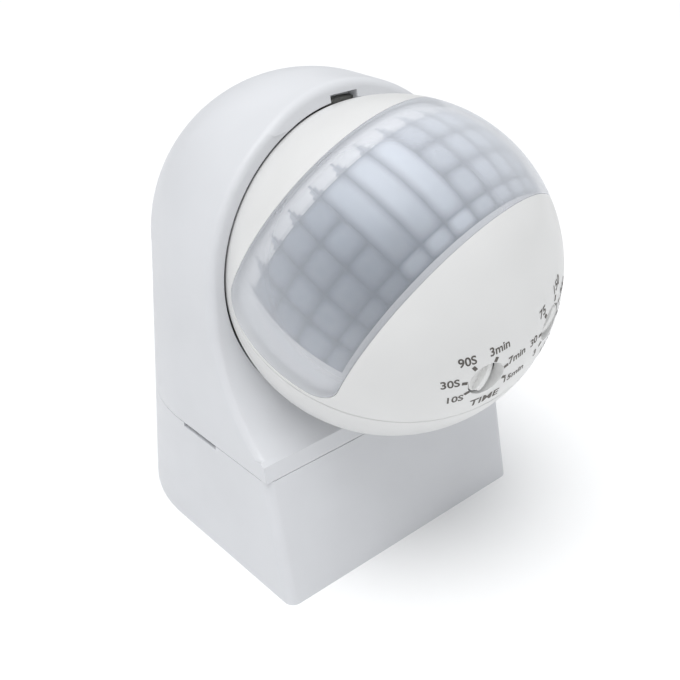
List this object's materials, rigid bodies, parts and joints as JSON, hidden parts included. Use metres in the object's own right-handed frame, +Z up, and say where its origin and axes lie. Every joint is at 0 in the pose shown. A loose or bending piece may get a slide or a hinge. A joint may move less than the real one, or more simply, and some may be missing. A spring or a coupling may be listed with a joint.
{
  "type": "motion sensor",
  "caption": "Wall-mounted infrared motion sensor: a ball head with a belt lens and two dials, clamped in an arched housing over a terminal box.",
  "frame": {"origin": "halfway between the two wall-screw slots, on the wall face of the plate", "axes": "+Y into the wall, -Y to the front, +Z up, +X to the right as seen from the front"},
  "size_m": [0.07, 0.0922, 0.1006],
  "materials": {
    "housing_abs": "satin white moulded plastic",
    "head_abs": "smooth white moulded plastic",
    "lens_polyethylene": "milky translucent plastic",
    "dial_plastic": "white plastic",
    "rubber_grey": "matte grey rubber",
    "terminal_nylon": "natural nylon",
    "plated_steel": "zinc plated",
    "brass": "machined brass",
    "lead_insulation": "flexible insulation",
    "stud_nylon": "grey nylon",
    "circuit_board": "solder-resist green",
    "sensor_can": "plated can",
    "component_blue": "moulded blue plastic",
    "component_yellow": "moulded yellow plastic",
    "component_dark": "shrink sleeve",
    "indicator_red": "tinted clear plastic"
  },
  "bodies": {
    "housing": {"upper_housing": "housing_abs", "wall_plate": "housing_abs", "plate_seal": "rubber_grey", "ball_seal": "rubber_grey", "housing_screws": "plated_steel", "cable_grommet": "rubber_grey", "terminal_block": "terminal_nylon", "terminal_clamps": "brass", "terminal_screws": "plated_steel", "block_screws": "plated_steel", "lead_wires": "lead_insulation"},
    "cover": {"terminal_cover": "housing_abs"},
    "swivel": {"clamp_stud": "stud_nylon", "stop_washer": "plated_steel", "wave_washer": "plated_steel", "clamp_nut": "plated_steel"},
    "head": {"front_shell": "head_abs", "rear_shell": "head_abs", "shell_screws": "plated_steel", "lens": "lens_polyethylene", "lens_retainer": "head_abs", "main_board": "circuit_board", "board_screws": "plated_steel", "pir_board": "circuit_board", "header_pins": "brass", "pir_element": "sensor_can", "photocell": "component_yellow", "status_led": "indicator_red", "relay": "component_blue", "mains_capacitor": "component_yellow", "electrolytic_capacitor": "component_dark", "varistor": "component_blue", "time_pot": "component_blue", "lux_pot": "component_blue"},
    "time_dial": {"time_dial": "dial_plastic"},
    "lux_dial": {"lux_dial": "dial_plastic"}
  },
  "joints": [
    {"name": "cover_pull", "type": "slide", "parent": "housing", "child": "cover", "axis": [0, -1, 0], "range_m": [0, 0.07]},
    {"name": "head_roll", "type": "hinge", "parent": "housing", "child": "swivel", "pos_m": [0, -0.0579, 0.01965], "axis": [0, -1, 0], "range_deg": [-107, 73]},
    {"name": "head_tilt", "type": "hinge", "parent": "swivel", "child": "head", "pos_m": [0, -0.0579, 0.01965], "axis": [0.9563, 0, 0.2924], "range_deg": [-5, 90]},
    {"name": "time_turn", "type": "hinge", "parent": "head", "child": "time_dial", "pos_m": [-0.00705, -0.08829, 0.01109], "axis": [0.0578, -0.9803, -0.189], "range_deg": [0, 265]},
    {"name": "lux_turn", "type": "hinge", "parent": "head", "child": "lux_dial", "pos_m": [0.01064, -0.08829, 0.01649], "axis": [0.0578, -0.9803, -0.189], "range_deg": [0, 265]}
  ]
}
